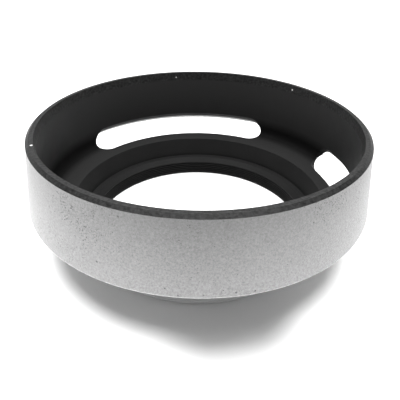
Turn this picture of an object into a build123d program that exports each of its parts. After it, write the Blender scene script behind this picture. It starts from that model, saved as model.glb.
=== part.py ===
"""Screw-in vented lens hood: silver outer sleeve, black vented baffle and a threaded rear mount.

Millimetres, +Z up along the optical axis. The origin is the centre of the rear face, on which the hood
stands, so the front rim, which faces the scene, is at the top.
"""
from build123d import *
import math
import os

# ---- driving dimensions -----------------------------------------------------------------------
TOTAL_HEIGHT = 20.5
FRONT_RADIUS = 27.5           # outer sleeve, at the front
SLEEVE_REAR_RADIUS = 28.05    # the sleeve widens slightly towards the lens
SLEEVE_BOTTOM_Z = 9.25
THREAD_RADIUS = 19.5          # male filter thread, 39 mm across its crests
GLUE_GAP = 0.05               # radial room between pieces that nest

# front rim
RIM_BEVEL_WIDTH = 0.5         # outside edge, black over the silver sleeve
RIM_BEVEL_HEIGHT = 0.42
RIM_FLAT_INNER_RADIUS = 26.3
BORE_RADIUS = 26.0            # inner wall, which a push-in cap also fits
RIM_SKIRT_BOTTOM_Z = 18.9

# vented baffle
BAFFLE_OUTER_RADIUS = 26.75
FOLD_RADIUS = 1.8             # rounded fold between the wall and the web
WEB_SLOPE_DEG = 17.0
THROAT_EDGE_RADIUS = 21.5
THROAT_EDGE_Z = 6.7
WEB_SEAT_Z = 5.6              # flat underside that rests on the mount ring
WEB_SEAT_RADIUS = 23.6
WALL_FOOT_RADIUS = 26.5
WALL_FOOT_Z = 8.3
SPIGOT_INNER_RADIUS = 20.5
SPIGOT_OUTER_RADIUS = 21.55
SPIGOT_CHAMFER = 0.4          # outside its lower edge, where it sits in the mount ring's coned seat

# vents
VENT_COUNT = 3
VENT_SPAN_DEG = 87.0
VENT_FIRST_CENTRE_DEG = 101.9
VENT_INNER_RADIUS = 23.35     # where the vent's inner edge cuts the top of the web
VENT_WALL_CUT_Z = 10.95       # where the vent's outer edge cuts the inner wall
VENT_SLANT_DEG = 48.5         # the vents are cut downwards and outwards
VENT_END_RATIO = 1.25         # length of a vent's oval end over half the vent's width

# mount ring and throat ring
THREAD_CHAMFER = 0.25
THREAD_TOP_Z = 1.9
RELIEF_RADIUS = 19.1
SHOULDER_Z = 2.2              # flat that stops against the front of the lens
SHOULDER_FLAT_RADIUS = 20.4
SHOULDER_RADIUS = 22.4
SHOULDER_CONE_Z = 4.15        # top of the coned face outside the flat
POCKET_FLOOR_Z = 2.9
FLANGE_TOP_Z = 3.3
FLANGE_RADIUS = 20.7
NECK_BORE_RADIUS = 18.95
THROAT_RADIUS = 18.4          # clear opening for the lens
THROAT_RIDGES = 5
RIDGE_DEPTH = 0.18


def turned(points):
    """A ring turned about Z from an outline of (radius, height) points."""
    outline = Polyline(*[(r, 0, z) for r, z in points], close=True)
    return revolve(make_face(outline), axis=Axis.Z)


def web_top_z(radius):
    """Height of the web's conical upper face."""
    return THROAT_EDGE_Z + (radius - THROAT_EDGE_RADIUS) * math.tan(math.radians(WEB_SLOPE_DEG))


# ---- pieces -----------------------------------------------------------------------------------
def outer_sleeve():
    """Silver sleeve: straight bore, slightly conical outside, chamfered inside its rear edge."""
    bore = BAFFLE_OUTER_RADIUS + GLUE_GAP
    top = TOTAL_HEIGHT - RIM_BEVEL_HEIGHT
    inside_chamfer = 1.0
    edge_chamfer = 0.2
    return turned(
        [
            (bore, top),
            (FRONT_RADIUS, top),
            (SLEEVE_REAR_RADIUS, SLEEVE_BOTTOM_Z + edge_chamfer),
            (SLEEVE_REAR_RADIUS - edge_chamfer, SLEEVE_BOTTOM_Z),
            (bore + inside_chamfer, SLEEVE_BOTTOM_Z),
            (bore, SLEEVE_BOTTOM_Z + inside_chamfer),
        ]
    )


def front_rim():
    """Black rim: a flange that covers the sleeve's end and a skirt that goes down inside it."""
    flange_bottom = TOTAL_HEIGHT - RIM_BEVEL_HEIGHT
    return turned(
        [
            (BORE_RADIUS, RIM_SKIRT_BOTTOM_Z),
            (BAFFLE_OUTER_RADIUS, RIM_SKIRT_BOTTOM_Z),
            (BAFFLE_OUTER_RADIUS, flange_bottom),
            (FRONT_RADIUS, flange_bottom),
            (FRONT_RADIUS - RIM_BEVEL_WIDTH, TOTAL_HEIGHT),
            (RIM_FLAT_INNER_RADIUS, TOTAL_HEIGHT),
        ]
    )


def vent_cutter(centre_deg):
    """A slanted curved slot with oval ends, to cut one vent through the web and the foot of the wall."""
    down = (math.cos(math.radians(VENT_SLANT_DEG)), -math.sin(math.radians(VENT_SLANT_DEG)))
    inner = (VENT_INNER_RADIUS, web_top_z(VENT_INNER_RADIUS))
    outer = (BORE_RADIUS, VENT_WALL_CUT_Z)
    across = (outer[0] - inner[0], outer[1] - inner[1])
    width = across[0] * -down[1] + across[1] * down[0]
    # the slot's middle line, and how far the cutter runs up and down from it
    foot = (inner[0] - down[1] * width / 2, inner[1] + down[0] * width / 2)
    up_run = 4.0
    down_run = 6.0

    def corner(run, side):
        """A point `run` along the slant, on the inner (-1), middle (0) or outer (1) side."""
        half = side * width / 2
        return (
            foot[0] + down[0] * run - down[1] * half,
            foot[1] + down[1] * run + down[0] * half,
        )

    section = [corner(-up_run, -1), corner(down_run, -1), corner(down_run, 1), corner(-up_run, 1)]
    end_length = width / 2 * VENT_END_RATIO
    end_angle = math.degrees(end_length / foot[0])
    sweep = VENT_SPAN_DEG - 2 * end_angle
    outline = Polyline(*[(r, 0, z) for r, z in section], close=True)
    arc = revolve(make_face(outline), axis=Axis.Z, revolution_arc=sweep)
    arc = arc.rotate(Axis.Z, centre_deg - sweep / 2)
    ends = []
    for side in (-1, 1):
        start = corner(-up_run, 0)
        along = Plane(origin=(start[0], 0, start[1]), x_dir=(0, 1, 0), z_dir=(down[0], 0, down[1]))
        peg = extrude(along * Ellipse(end_length, width / 2), amount=up_run + down_run)
        ends.append(peg.rotate(Axis.Z, centre_deg + side * sweep / 2))
    return [arc] + ends


def vented_baffle():
    """Black liner: the inner wall, the sloping web with its vents, and the spigot under the web."""
    slope = math.radians(WEB_SLOPE_DEG)
    corner_z = web_top_z(BORE_RADIUS)
    tangent = FOLD_RADIUS * math.tan((math.pi / 2 - slope) / 2)
    on_wall = (BORE_RADIUS, corner_z + tangent)
    on_web = (BORE_RADIUS - tangent * math.cos(slope), corner_z - tangent * math.sin(slope))
    centre = (BORE_RADIUS - FOLD_RADIUS, on_wall[1])
    turn = -(math.pi / 2 - slope) / 2
    middle = (centre[0] + FOLD_RADIUS * math.cos(turn), centre[1] + FOLD_RADIUS * math.sin(turn))
    upper = Polyline(
        (SPIGOT_INNER_RADIUS, 0, FLANGE_TOP_Z),
        (THROAT_EDGE_RADIUS, 0, THROAT_EDGE_Z),
        (on_web[0], 0, on_web[1]),
    )
    fold = ThreePointArc((on_web[0], 0, on_web[1]), (middle[0], 0, middle[1]), (on_wall[0], 0, on_wall[1]))
    rest = Polyline(
        (on_wall[0], 0, on_wall[1]),
        (BORE_RADIUS, 0, RIM_SKIRT_BOTTOM_Z),
        (BAFFLE_OUTER_RADIUS, 0, RIM_SKIRT_BOTTOM_Z),
        (BAFFLE_OUTER_RADIUS, 0, WALL_FOOT_Z + 0.3),
        (WALL_FOOT_RADIUS, 0, WALL_FOOT_Z),
        (WEB_SEAT_RADIUS, 0, WEB_SEAT_Z),
        (SPIGOT_OUTER_RADIUS, 0, WEB_SEAT_Z),
        (SPIGOT_OUTER_RADIUS, 0, FLANGE_TOP_Z + SPIGOT_CHAMFER),
        (SPIGOT_OUTER_RADIUS - SPIGOT_CHAMFER, 0, FLANGE_TOP_Z),
        (SPIGOT_INNER_RADIUS, 0, FLANGE_TOP_Z),
    )
    body = revolve(make_face(Wire(upper.edges() + fold.edges() + rest.edges())), axis=Axis.Z)
    # the revolved body's seam is turned to the bridge before the first vent, so that no vent crosses it
    body = body.rotate(Axis.Z, VENT_FIRST_CENTRE_DEG - 180 / VENT_COUNT)
    for vent in range(VENT_COUNT):
        for cutter in vent_cutter(VENT_FIRST_CENTRE_DEG + vent * 360 / VENT_COUNT):
            body = body - cutter
    return body


def mount_ring():
    """Silver mount: the male filter thread's crest cylinder, a relief groove and a coned shoulder."""
    spigot_bore = SPIGOT_OUTER_RADIUS + GLUE_GAP
    flange_bore = FLANGE_RADIUS + GLUE_GAP
    return turned(
        [
            (NECK_BORE_RADIUS, 0),
            (THREAD_RADIUS - THREAD_CHAMFER, 0),
            (THREAD_RADIUS, THREAD_CHAMFER),
            (THREAD_RADIUS, THREAD_TOP_Z),
            (RELIEF_RADIUS, THREAD_TOP_Z),
            (RELIEF_RADIUS, SHOULDER_Z),
            (SHOULDER_FLAT_RADIUS, SHOULDER_Z),
            (SHOULDER_RADIUS, SHOULDER_CONE_Z),
            (SHOULDER_RADIUS, WEB_SEAT_Z),
            (spigot_bore, WEB_SEAT_Z),
            (spigot_bore, FLANGE_TOP_Z + SPIGOT_CHAMFER),
            (spigot_bore - SPIGOT_CHAMFER, FLANGE_TOP_Z),
            (flange_bore, FLANGE_TOP_Z),
            (flange_bore, POCKET_FLOOR_Z),
            (NECK_BORE_RADIUS, POCKET_FLOOR_Z),
        ]
    )


def throat_ring():
    """Black ring held in the mount under the baffle's spigot, with light-trap ridges round the throat."""
    outer = NECK_BORE_RADIUS - GLUE_GAP
    ledge_radius = THROAT_RADIUS + 1.0
    ridge_low = 0.4
    ridge_high = 2.4
    pitch = (ridge_high - ridge_low) / THROAT_RIDGES
    points = [
        (THROAT_RADIUS, 0),
        (outer, 0),
        (outer, POCKET_FLOOR_Z),
        (FLANGE_RADIUS, POCKET_FLOOR_Z),
        (FLANGE_RADIUS, FLANGE_TOP_Z),
        (ledge_radius, FLANGE_TOP_Z),
        (THROAT_RADIUS, ridge_high + 0.2),
    ]
    for ridge in reversed(range(THROAT_RIDGES)):
        top = ridge_low + (ridge + 1) * pitch
        points.append((THROAT_RADIUS, top))
        points.append((THROAT_RADIUS + RIDGE_DEPTH, top - pitch * 0.35))
        points.append((THROAT_RADIUS, top - pitch * 0.7))
    return turned(points)


PIECES = {
    "outer_sleeve": outer_sleeve,
    "front_rim": front_rim,
    "vented_baffle": vented_baffle,
    "mount_ring": mount_ring,
    "throat_ring": throat_ring,
}

os.makedirs("parts", exist_ok=True)
for name, make in PIECES.items():
    export_step(make(), f"parts/{name}.step")
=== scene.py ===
"""A vented lens hood on a pale floor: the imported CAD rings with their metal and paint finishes."""
import math

import bpy
from mathutils import Euler, Matrix, Vector


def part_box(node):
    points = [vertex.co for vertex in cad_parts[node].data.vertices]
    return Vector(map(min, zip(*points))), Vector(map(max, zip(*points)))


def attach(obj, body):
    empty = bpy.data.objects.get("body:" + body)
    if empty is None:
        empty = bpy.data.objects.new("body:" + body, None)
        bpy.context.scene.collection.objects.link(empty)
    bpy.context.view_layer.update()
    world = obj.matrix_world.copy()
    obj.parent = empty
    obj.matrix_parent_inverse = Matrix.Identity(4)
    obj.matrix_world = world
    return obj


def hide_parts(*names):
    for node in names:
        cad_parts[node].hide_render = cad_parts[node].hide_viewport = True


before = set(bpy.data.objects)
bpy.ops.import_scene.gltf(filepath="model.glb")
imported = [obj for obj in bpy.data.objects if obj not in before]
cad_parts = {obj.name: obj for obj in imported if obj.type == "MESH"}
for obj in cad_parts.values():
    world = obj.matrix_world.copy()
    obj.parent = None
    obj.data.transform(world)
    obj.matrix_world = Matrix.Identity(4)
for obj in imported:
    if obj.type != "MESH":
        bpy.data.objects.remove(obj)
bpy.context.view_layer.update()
MM = 0.001

SLEEVE_LOW, SLEEVE_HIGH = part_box("outer_sleeve")
RIM_LOW, RIM_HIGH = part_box("front_rim")
FRONT_RADIUS = RIM_HIGH[0]

# ---- wear and finish ----------------------------------------------------------------------------
# bright chips on the rim: angle in degrees, then radius, depth below the rim's top and size in mm
RIM_CHIPS = [
    (-156.5, 26.60, 0.0, 0.21),
    (44.0, 26.15, 0.9, 0.16),
    (101.7, 26.12, 1.0, 0.13),
]
WORN_AT_DEG = -126.0          # where the sleeve's silver is most pitted
WORN_HEIGHT = 17.5 * MM
WORN_REACH = 11 * MM
EDGE_HIGHLIGHT = 0.12 * MM       # height of the sleeve's rear edge band painted bright as a highlight, and of the fade above it
EDGE_FADE = 0.20 * MM
PAINTED_LIGHT_DEPTH = 7 * MM           # how far below the rim the painted light on the black reaches
FOLD_FROM = 7.8 * MM          # heights of the baffle's fold, between its web and its wall, where shade is painted into the colour
FOLD_TO = 9.4 * MM
BAND_FROM = 4.1 * MM          # height at which the mount's shoulder turns upright

# ---- light --------------------------------------------------------------------------------------
HORIZON_TOP = 0.22            # sine of the elevation up to which the surroundings are white
HORIZON_FADE = 0.15           # and how much further up they reach the sky's strength
HORIZON_STRENGTH = 1.0
HORIZON_FRONT = 0.1           # strength straight in front, towards -Y
FRONT_SIDE = -0.5             # Y of the directions at which the front has faded to the rest
SKY_STRENGTH = 0.12
SUN_SPREAD_DEG = 80.0
SUN_STRENGTH = 3.05
SUN_BACK_TILT_DEG = 6.0
# area lights: name, place, aim, width and height in metres, watts, and the one node lit if not all.
# The floor strip is a bright piece of floor in front, which lights the sleeve from below.
AREA_LIGHTS = [
    ("overhead", (0.0, 0.03, 0.24), (0, 0.01, 0.0), 0.26, 0.22, 1.15, None),
    ("left", (-0.20, -0.03, 0.15), (0, 0, 0.01), 0.12, 0.12, 2.5, "outer_sleeve"),
    ("right", (0.20, -0.03, 0.15), (0, 0, 0.01), 0.12, 0.12, 1.9, "outer_sleeve"),
    ("floor_strip", (0.0, -0.040, 0.0005), (0, -0.040, 1.0), 0.06, 0.010, 0.004, None),
]

# ---- camera: close, looking down, with the frame shifted down on the object ---------------------
IMAGE_SIDE = 400
SENSOR_MM = 36.0
FOCAL_PIXELS = 461.3
CAMERA_PITCH_DEG = 20.67
CAMERA_ROLL_DEG = 0.90
CAMERA_DISTANCE = 2.750       # in front radii, from the point that it is aimed at
AIM_ABOVE_RIM = 0.1249        # in front radii
AIM_SIDE = -0.0004
FRAME_SHIFT = -0.25
CLIP_NEAR = 0.002
CLIP_FAR = 20.0

# ---- the mount, in mm ---------------------------------------------------------------------------
MOUNT_LOW, MOUNT_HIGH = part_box("mount_ring")
THREAD_RADIUS = 19.5
THREAD_PITCH = 0.5
THREAD_DEPTH = 0.30
THREAD_FROM = 0.25
THREAD_TO = 1.9
THREAD_RUNOUT = 0.2           # height over which the thread dies away at either end
THREAD_HALF_GROOVE = 0.42     # half of the groove's width, in pitches
THREAD_STEPS = 14             # heights sampled over one pitch
ROUND_STEPS = 540             # columns round the axis
NECK_BORE = 18.98
FOOT_RADIUS = 19.25
RELIEF_RADIUS = 19.13
SHOULDER_Z = 2.2
SHOULDER_FLAT_RADIUS = 20.36
SHOULDER_CONE_Z = 4.10
POCKET_RADIUS = 20.78
POCKET_FLOOR_Z = 2.9
SEAT_Z = 3.3
SEAT_CONE_Z = 3.75
SEAT_BORE = 21.62
SHARP_ANGLE_DEG = 25.0


def make_camera():
    """The camera, aimed a little above the front rim's plane."""
    pitch = math.radians(CAMERA_PITCH_DEG)
    aim = Vector((AIM_SIDE * FRONT_RADIUS, 0.0, RIM_HIGH[2] + AIM_ABOVE_RIM * FRONT_RADIUS))
    back = Vector((0.0, -math.cos(pitch), math.sin(pitch)))
    data = bpy.data.cameras.new("camera")
    data.sensor_width = SENSOR_MM
    data.lens = FOCAL_PIXELS / IMAGE_SIDE * SENSOR_MM
    data.shift_y = FRAME_SHIFT
    data.clip_start = CLIP_NEAR
    data.clip_end = CLIP_FAR
    camera = bpy.data.objects.new("camera", data)
    camera.location = aim + back * CAMERA_DISTANCE * FRONT_RADIUS
    turn = Euler((math.pi / 2 - pitch, 0.0, 0.0)).to_matrix() @ Matrix.Rotation(
        math.radians(CAMERA_ROLL_DEG), 3, "Z"
    )
    camera.rotation_euler = turn.to_euler()
    bpy.context.scene.collection.objects.link(camera)
    bpy.context.scene.camera = camera


# ---- materials ----------------------------------------------------------------------------------
class Nodes:
    """A short way to add and link shader nodes in one material."""

    def __init__(self, name):
        self.material = bpy.data.materials.new(name)
        self.material.use_nodes = True
        self.tree = self.material.node_tree
        self.shader = self.tree.nodes["Principled BSDF"]
        self.coords = self.add("ShaderNodeTexCoord").outputs["Object"]
        self.height = self.add("ShaderNodeSeparateXYZ", {0: self.coords}).outputs["Z"]

    def add(self, kind, inputs=None, **settings):
        node = self.tree.nodes.new(kind)
        for key, value in settings.items():
            setattr(node, key, value)
        for key, value in (inputs or {}).items():
            self.set(node.inputs[key], value)
        return node

    def set(self, socket, value):
        if isinstance(value, bpy.types.NodeSocket):
            self.tree.links.new(value, socket)
        else:
            socket.default_value = value

    def noise(self, per_mm, detail=3.0, roughness=0.55):
        """Object-space noise with this many features per millimetre, as its 0 to 1 value."""
        node = self.add(
            "ShaderNodeTexNoise",
            {"Vector": self.coords, "Scale": per_mm / MM, "Detail": detail, "Roughness": roughness},
        )
        return node.outputs["Fac"]

    def spots(self, per_mm, share, edge):
        """Scattered round spots, 0 to 1: share, from 0 to 1, sets how many and how big they are."""
        cells = self.add("ShaderNodeTexVoronoi", {"Vector": self.coords, "Scale": per_mm / MM})
        chance = self.add("ShaderNodeSeparateColor", {0: cells.outputs["Color"]}).outputs[0]
        size = self.math("SUBTRACT", share, chance)
        inside = self.math("SUBTRACT", size, cells.outputs["Distance"])
        return self.remap(inside, -edge / 2, edge / 2, 0.0, 1.0)

    def rings(self, per_mm, wobble):
        """Fine rings round the Z axis, by radius and height, as left by a lathe tool."""
        level = {0: self.coords, 1: (1.0, 1.0, 0.0)}
        flat = self.add("ShaderNodeVectorMath", level, operation="MULTIPLY")
        radius = self.add("ShaderNodeVectorMath", {0: flat.outputs[0]}, operation="LENGTH")
        along = self.math("ADD", radius.outputs["Value"], self.height)
        place = self.add("ShaderNodeCombineXYZ", {0: along})
        noise = self.add(
            "ShaderNodeTexNoise",
            {"Vector": place.outputs[0], "Scale": per_mm / MM, "Detail": 2.0, "Roughness": 0.7},
        )
        noise.inputs["Distortion"].default_value = wobble
        return noise.outputs["Fac"]

    def apart(self, place):
        """Distance from a place, in metres."""
        node = self.add("ShaderNodeVectorMath", {0: self.coords, 1: place}, operation="DISTANCE")
        return node.outputs["Value"]

    def remap(self, value, low, high, to_low, to_high):
        node = self.add(
            "ShaderNodeMapRange",
            {"Value": value, "From Min": low, "From Max": high, "To Min": to_low, "To Max": to_high},
        )
        return node.outputs["Result"]

    def math(self, operation, a, b=0.0):
        node = self.add("ShaderNodeMath", {0: a, 1: b}, operation=operation)
        return node.outputs[0]

    def mix(self, factor, a, b):
        node = self.add("ShaderNodeMix", data_type="RGBA")
        self.set(node.inputs[0], factor)
        self.set(node.inputs[6], a)
        self.set(node.inputs[7], b)
        return node.outputs[2]

    def bump(self, height, distance_mm, strength=1.0, below=None):
        inputs = {"Height": height, "Distance": distance_mm * MM, "Strength": strength}
        if below is not None:
            inputs["Normal"] = below
        return self.add("ShaderNodeBump", inputs).outputs["Normal"]


def grey(value):
    return (value, value, value, 1.0)


def round_axis(angle, radius, height):
    """The point at this angle, radius and height, in the units of the radius."""
    return (radius * math.cos(angle), radius * math.sin(angle), height)


def silver_grain():
    """Silver paint over a fine leathery grain, with painted shade darkening it towards the rim, and
    small dark pits in patches.
    """
    n = Nodes("silver_grain")
    grain = n.noise(3.6, 3.0, 0.65)
    fine = n.noise(11.0, 2.0, 0.6)
    patches = n.noise(0.13, 2.0, 0.5)
    up = n.remap(n.height, SLEEVE_LOW[2], SLEEVE_HIGH[2], 0.0, 1.0)
    # pits: small spots, more of them in patches, towards the rim and round the most worn place
    worn_place = round_axis(math.radians(WORN_AT_DEG), FRONT_RADIUS, WORN_HEIGHT)
    worn = n.remap(n.apart(worn_place), 0.0, WORN_REACH, 0.24, 0.0)
    crowd = n.math("ADD", n.math("ADD", patches, n.math("MULTIPLY", up, 0.06)), worn)
    share = n.remap(crowd, 0.42, 0.80, 0.03, 0.66)
    pits = n.math("MAXIMUM", n.spots(4.2, share, 0.14), n.spots(1.3, 0.20, 0.05))
    small_pits = n.spots(7.5, share, 0.18)
    mottle = n.mix(n.remap(grain, 0.32, 0.68, 0.0, 1.0), grey(0.105), grey(0.205))
    base = n.mix(n.remap(fine, 0.35, 0.65, 0.0, 0.4), mottle, grey(0.33))
    # painted shade: the colour darkens from the rear edge up towards the rim
    shaded_toward_rim = n.mix(n.math("MULTIPLY", up, 0.48), base, grey(0.05))
    marked = n.mix(n.math("MULTIPLY", small_pits, 0.45), shaded_toward_rim, grey(0.03))
    pitted = n.mix(n.math("MULTIPLY", pits, 0.65), marked, grey(0.02))
    # painted highlight: the rear edge is painted bright
    edge_top = SLEEVE_LOW[2] + EDGE_HIGHLIGHT
    edge = n.remap(n.height, edge_top, edge_top + EDGE_FADE, 1.0, 0.0)
    painted_edge_highlight = n.math("MULTIPLY", edge, n.remap(grain, 0.35, 0.60, 0.2, 1.0))
    n.set(n.shader.inputs["Base Color"], n.mix(painted_edge_highlight, pitted, grey(0.75)))
    n.shader.inputs["Metallic"].default_value = 0.45
    n.set(n.shader.inputs["Roughness"], n.remap(fine, 0.3, 0.7, 0.40, 0.56))
    relief = n.math("SUBTRACT", grain, n.math("MULTIPLY", pits, 0.5))
    coarse = n.bump(relief, 0.06, 0.9)
    n.set(n.shader.inputs["Normal"], n.bump(fine, 0.02, 0.7, coarse))
    return n.material


def black_anodised(name, shade, roughness, specular):
    """Dull black anodising with faint cloudiness, with painted shade darkening the crease between web
    and wall and painted light brightening it near the rim.
    """
    n = Nodes(name)
    cloud = n.noise(0.25, 3.0)
    fine = n.noise(8.0, 2.0)
    black = n.mix(cloud, grey(shade * 0.7), grey(shade * 1.3))
    # painted light: the black is lightened towards the rim, where light from the front falls on the back
    # wall
    painted_light_mask = n.remap(n.height, RIM_LOW[2] - PAINTED_LIGHT_DEPTH, RIM_LOW[2], 0.0, 0.5)
    lit_toward_rim = n.mix(painted_light_mask, black, grey(shade * 4.0))
    # painted shade: the fold between the web and the wall is darkened, with less specular there too
    above_web = n.remap(n.height, FOLD_FROM - 0.4 * MM, FOLD_FROM, 0.0, 0.8)
    below_wall = n.remap(n.height, FOLD_TO, FOLD_TO + 2 * MM, 1.0, 0.0)
    painted_fold_shade = n.math("MULTIPLY", above_web, below_wall)
    n.set(n.shader.inputs["Base Color"], n.mix(painted_fold_shade, lit_toward_rim, grey(shade * 0.1)))
    n.shader.inputs["Metallic"].default_value = 0.0
    n.set(n.shader.inputs["Specular IOR Level"], n.remap(painted_fold_shade, 0.0, 1.0, specular, specular * 0.3))
    n.set(n.shader.inputs["Roughness"], n.remap(cloud, 0.3, 0.7, roughness - 0.05, roughness + 0.05))
    n.set(n.shader.inputs["Normal"], n.bump(fine, 0.015, 0.6))
    return n.material


def chipped_black_rim():
    """The rim's black anodising, coarser than inside, with a few bright chips from knocks."""
    n = Nodes("black_rim")
    cloud = n.noise(0.3, 3.0)
    coarse = n.noise(2.4, 3.0, 0.65)
    fine = n.noise(8.0, 2.0)
    black = n.mix(n.remap(coarse, 0.35, 0.65, 0.0, 1.0), grey(0.002), grey(0.022))
    chips = 0.0
    for angle_deg, radius, depth, size in RIM_CHIPS:
        spot = round_axis(math.radians(angle_deg), radius * MM, RIM_HIGH[2] - depth * MM)
        ragged = n.math("ADD", n.apart(spot), n.math("MULTIPLY", coarse, 0.3 * size * MM))
        chips = n.math("MAXIMUM", chips, n.remap(ragged, size * MM, 1.3 * size * MM, 1.0, 0.0))
    n.set(n.shader.inputs["Base Color"], n.mix(chips, black, grey(0.85)))
    n.set(n.shader.inputs["Metallic"], chips)
    n.shader.inputs["Specular IOR Level"].default_value = 0.22
    n.set(n.shader.inputs["Roughness"], n.remap(cloud, 0.3, 0.7, 0.38, 0.48))
    grained = n.bump(coarse, 0.06, 1.0)
    n.set(n.shader.inputs["Normal"], n.bump(fine, 0.015, 0.6, grained))
    return n.material


def turned_silver():
    """Bare satin aluminium with fine turning marks, with the shoulder's upright band darker in colour as
    painted shade.
    """
    n = Nodes("turned_silver")
    fine = n.noise(6.0, 2.0)
    marks = n.rings(9.0, 0.25)
    silver = n.mix(fine, grey(0.72), grey(0.82))
    painted_band_shade = n.mix(marks, grey(0.16), grey(0.34))
    # painted shade: above the shoulder's turn the colour is darker, as the band sits below the sleeve
    band = n.remap(n.height, BAND_FROM - 0.15 * MM, BAND_FROM + 0.15 * MM, 0.0, 1.0)
    n.set(n.shader.inputs["Base Color"], n.mix(band, silver, painted_band_shade))
    n.shader.inputs["Metallic"].default_value = 0.70
    n.set(n.shader.inputs["Roughness"], n.remap(fine, 0.3, 0.7, 0.32, 0.46))
    n.set(n.shader.inputs["Normal"], n.bump(marks, 0.01, 0.5))
    return n.material


def dress(node, material):
    """Gives a CAD node's own mesh its finish."""
    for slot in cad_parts[node].material_slots:
        slot.material = material


# ---- the threaded mount -------------------------------------------------------------------------
def thread_radius(height, angle):
    """Radius of a right-hand V thread with a flat crest, which dies away at both ends."""
    phase = (height / THREAD_PITCH - angle / (2 * math.pi)) % 1.0
    groove = max(0.0, 1.0 - abs(phase - 0.5) / THREAD_HALF_GROOVE)
    from_end = min(height - THREAD_FROM, THREAD_TO - height)
    ends = min(from_end / THREAD_RUNOUT, 1.0)
    return THREAD_RADIUS - THREAD_DEPTH * groove * max(ends, 0.0)


def mount_outline():
    """The mount's outline as (radius, height, threaded) rows, up the outside and down the inside."""
    top = MOUNT_HIGH[2] / MM
    widest = MOUNT_HIGH[0] / MM
    rows = [(NECK_BORE, 0.0, False), (FOOT_RADIUS, 0.0, False)]
    count = round((THREAD_TO - THREAD_FROM) / THREAD_PITCH * THREAD_STEPS)
    for step in range(count + 1):
        height = THREAD_FROM + (THREAD_TO - THREAD_FROM) * step / count
        rows.append((THREAD_RADIUS, height, True))
    plain = [
        (RELIEF_RADIUS, THREAD_TO + 0.03),
        (RELIEF_RADIUS, SHOULDER_Z),
        (SHOULDER_FLAT_RADIUS, SHOULDER_Z),
        (SHOULDER_FLAT_RADIUS + 0.06, SHOULDER_Z + 0.04),
        (widest - 0.03, SHOULDER_CONE_Z),
        (widest, SHOULDER_CONE_Z + 0.1),
        (widest, top - 0.08),
        (widest - 0.08, top),
        (SEAT_BORE + 0.03, top),
        (SEAT_BORE, SEAT_CONE_Z),
        (POCKET_RADIUS, SEAT_Z),
        (POCKET_RADIUS, POCKET_FLOOR_Z),
        (NECK_BORE, POCKET_FLOOR_Z),
    ]
    return rows + [(radius, height, False) for radius, height in plain]


def make_mount():
    """The mount ring with its real helical thread, in place of the plain crest cylinder."""
    rows = mount_outline()
    points = []
    for column in range(ROUND_STEPS):
        angle = 2 * math.pi * column / ROUND_STEPS
        for radius, height, threaded in rows:
            if threaded:
                radius = thread_radius(height, angle)
            points.append(round_axis(angle, radius * MM, height * MM))
    faces = []
    for column in range(ROUND_STEPS):
        this = column * len(rows)
        following = (column + 1) % ROUND_STEPS * len(rows)
        for row in range(len(rows)):
            above = (row + 1) % len(rows)
            faces.append((this + row, following + row, following + above, this + above))
    mesh = bpy.data.meshes.new("threaded_mount")
    mesh.from_pydata(points, [], faces)
    mesh.polygons.foreach_set("use_smooth", [True] * len(faces))
    mesh.set_sharp_from_angle(angle=math.radians(SHARP_ANGLE_DEG))
    mesh.materials.append(turned_silver())
    mount = bpy.data.objects.new("threaded_mount", mesh)
    bpy.context.scene.collection.objects.link(mount)
    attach(mount, "root")
    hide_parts("mount_ring")


# ---- surroundings -------------------------------------------------------------------------------
def make_floor():
    """A plain white floor, wide enough to fill every view."""
    reach = 3.0
    mesh = bpy.data.meshes.new("floor")
    corners = [(-reach, -reach, 0), (reach, -reach, 0), (reach, reach, 0), (-reach, reach, 0)]
    mesh.from_pydata(corners, [], [(0, 1, 2, 3)])
    floor = bpy.data.objects.new("floor", mesh)
    bpy.context.scene.collection.objects.link(floor)
    n = Nodes("floor_white")
    n.shader.inputs["Base Color"].default_value = grey(0.9)
    n.shader.inputs["Roughness"].default_value = 0.6
    mesh.materials.append(n.material)


def area_light(name, place, aim, width, height, watts, only_on):
    """A rectangular light; only_on names the one CAD node that it lights, or is None for all."""
    data = bpy.data.lights.new(name, "AREA")
    data.shape = "RECTANGLE"
    data.size = width
    data.size_y = height
    data.energy = watts
    light = bpy.data.objects.new(name, data)
    light.location = place
    light.rotation_euler = (Vector(aim) - Vector(place)).to_track_quat("-Z", "Y").to_euler()
    bpy.context.scene.collection.objects.link(light)
    if only_on:
        lit = bpy.data.collections.new(f"lit_by_{name}")
        lit.objects.link(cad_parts[only_on])
        light.light_linking.receiver_collection = lit


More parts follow.
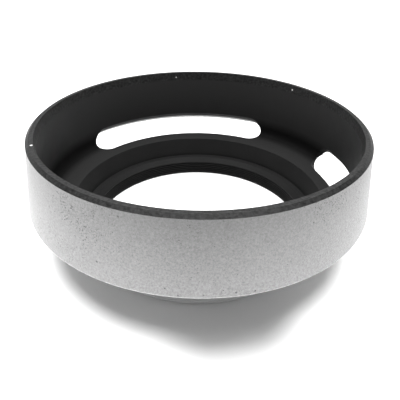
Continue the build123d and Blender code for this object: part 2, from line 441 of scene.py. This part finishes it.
def smooth_range(tree, value, low, high, to_low, to_high):
    """Adds a smooth map-range node; each end that it maps to is a number or a socket."""
    node = tree.nodes.new("ShaderNodeMapRange")
    node.interpolation_type = "SMOOTHSTEP"
    tree.links.new(value, node.inputs["Value"])
    node.inputs["From Min"].default_value = low
    node.inputs["From Max"].default_value = high
    for name, target in (("To Min", to_low), ("To Max", to_high)):
        if isinstance(target, bpy.types.NodeSocket):
            tree.links.new(target, node.inputs[name])
        else:
            node.inputs[name].default_value = target
    return node.outputs["Result"]


def make_world():
    """Surroundings that are white low down, except in front, and dim overhead."""
    world = bpy.data.worlds.new("studio")
    bpy.context.scene.world = world
    world.use_nodes = True
    tree = world.node_tree
    background = tree.nodes["Background"]
    background.inputs["Color"].default_value = grey(1.0)
    direction = tree.nodes.new("ShaderNodeTexCoord")
    parts = tree.nodes.new("ShaderNodeSeparateXYZ")
    tree.links.new(direction.outputs["Generated"], parts.inputs[0])
    # along the horizon from the front (-Y) round to the rest, then up from the horizon to the sky
    horizon = smooth_range(tree, parts.outputs["Y"], -1.0, FRONT_SIDE, HORIZON_FRONT, HORIZON_STRENGTH)
    fade_end = HORIZON_TOP + HORIZON_FADE
    strength = smooth_range(tree, parts.outputs["Z"], HORIZON_TOP, fade_end, horizon, SKY_STRENGTH)
    tree.links.new(strength, background.inputs["Strength"])


def make_sun():
    """A very broad sun overhead, so that the floor is evenly white as far as it goes."""
    data = bpy.data.lights.new("overhead_sun", "SUN")
    data.angle = math.radians(SUN_SPREAD_DEG)
    data.energy = SUN_STRENGTH
    light = bpy.data.objects.new("overhead_sun", data)
    light.rotation_euler = (math.radians(-SUN_BACK_TILT_DEG), 0.0, 0.0)
    bpy.context.scene.collection.objects.link(light)


def make_light():
    """A broad sun, a soft box above the object, two lights on the sleeve's sides and a floor strip."""
    make_world()
    make_sun()
    for light in AREA_LIGHTS:
        area_light(*light)


dress("outer_sleeve", silver_grain())
dress("front_rim", chipped_black_rim())
dress("vented_baffle", black_anodised("black_baffle", 0.0085, 0.62, 0.12))
dress("throat_ring", black_anodised("black_throat", 0.006, 0.65, 0.10))
dress("mount_ring", turned_silver())
make_mount()
make_camera()
make_floor()
make_light()
bpy.context.scene.view_settings.view_transform = "Standard"
